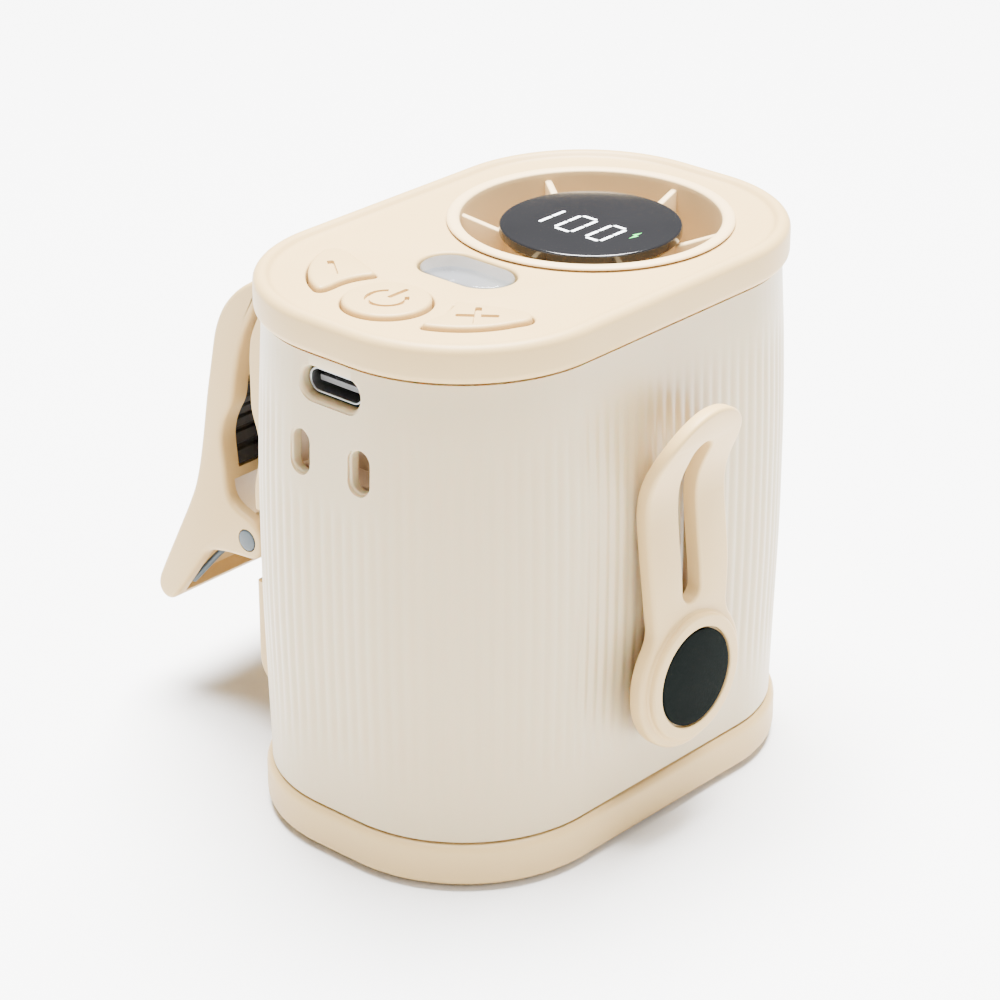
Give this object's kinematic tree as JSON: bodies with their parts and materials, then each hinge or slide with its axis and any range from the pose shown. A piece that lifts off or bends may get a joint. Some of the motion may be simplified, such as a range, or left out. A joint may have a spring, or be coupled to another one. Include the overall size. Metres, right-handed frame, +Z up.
{
  "type": "clip-on rechargeable blower",
  "caption": "Pocket battery blower: ring-shaped air outlet round a display in a fluted shell, with belt clip and spring clamp.",
  "frame": {"origin": "under the middle rubber foot, at the centre of the body outline, on the surface it stands on", "axes": "+Z up, X along the body's long axis with the fan and display at +X and the keys and charging port at -X, -Y towards the belt clip, +Y towards the spring clamp"},
  "size_m": [0.0722, 0.0822, 0.0735],
  "materials": {
    "cream": "satin moulded cream plastic",
    "frosted": "frosted, finely fluted plastic",
    "duct_tan": "satin plastic",
    "display_black": "polished black",
    "rubber": "matt black rubber",
    "steel": "plain steel",
    "copper": "wound copper",
    "board": "circuit board",
    "white": "plain white plastic",
    "cell": "foil pouch",
    "clear": "clear window",
    "led": "phosphor",
    "lead_red": "insulation",
    "lead_black": "insulation"
  },
  "bodies": {
    "body": {"base_plate": "cream", "base_screw_1": "steel", "base_screw_2": "steel", "base_screw_3": "steel", "base_screw_4": "steel", "battery_cell_a": "cell", "battery_cell_b": "cell", "battery_lead_black": "lead_black", "battery_lead_red": "lead_red", "bearing_lower": "steel", "bearing_upper": "steel", "chassis": "white", "clamp_base": "cream", "clamp_pad_fixed": "rubber", "clamp_screw_lower": "steel", "clamp_screw_upper": "steel", "clip_nut": "steel", "clip_post": "steel", "clip_washer": "rubber", "display_board": "board", "display_lens": "display_black", "fan_duct": "duct_tan", "foot_front": "rubber", "foot_middle": "rubber", "foot_rear": "rubber", "intake_grille": "cream", "led_chip": "led", "led_lens": "clear", "led_reflector": "white", "lid": "cream", "main_board": "board", "motor_stator": "copper", "outlet_grille": "cream", "shell": "frosted", "strap_pocket": "duct_tan", "switch_minus": "steel", "switch_plus": "steel", "switch_power": "steel", "usb_receptacle": "steel", "usb_tongue": "lead_black"},
    "fan_rotor": {"motor_rotor": "steel", "shaft": "steel", "impeller": "white"},
    "minus_key": {"button_minus": "cream"},
    "power_key": {"button_power": "cream"},
    "plus_key": {"button_plus": "cream"},
    "clip_arm": {"belt_clip": "cream", "clip_disc": "display_black"},
    "clamp_jaw": {"clamp_lever": "cream", "clamp_pad_moving": "rubber", "clamp_pin": "steel", "clamp_spring": "steel"}
  },
  "joints": [
    {"name": "fan_spin", "type": "hinge", "parent": "body", "child": "fan_rotor", "pos_m": [0.0123, 0, 0.05], "axis": [0, 0, 1], "continuous": true},
    {"name": "minus_press", "type": "slide", "parent": "body", "child": "minus_key", "axis": [0, 0, -1], "range_m": [0, 0.0004], "stiffness_N_per_m": 800},
    {"name": "power_press", "type": "slide", "parent": "body", "child": "power_key", "axis": [0, 0, -1], "range_m": [0, 0.0004], "stiffness_N_per_m": 800},
    {"name": "plus_press", "type": "slide", "parent": "body", "child": "plus_key", "axis": [0, 0, -1], "range_m": [0, 0.0004], "stiffness_N_per_m": 800},
    {"name": "clip_swivel", "type": "hinge", "parent": "body", "child": "clip_arm", "pos_m": [0, -0.0258, 0.0221], "axis": [0, 1, 0], "range_deg": [-90, 90]},
    {"name": "clamp_open", "type": "hinge", "parent": "body", "child": "clamp_jaw", "pos_m": [0, 0.0329, 0.0278], "axis": [-1, 0, 0], "range_deg": [0, 35], "stiffness_Nm_per_rad": 0.35, "springref_deg": -28.65}
  ]
}
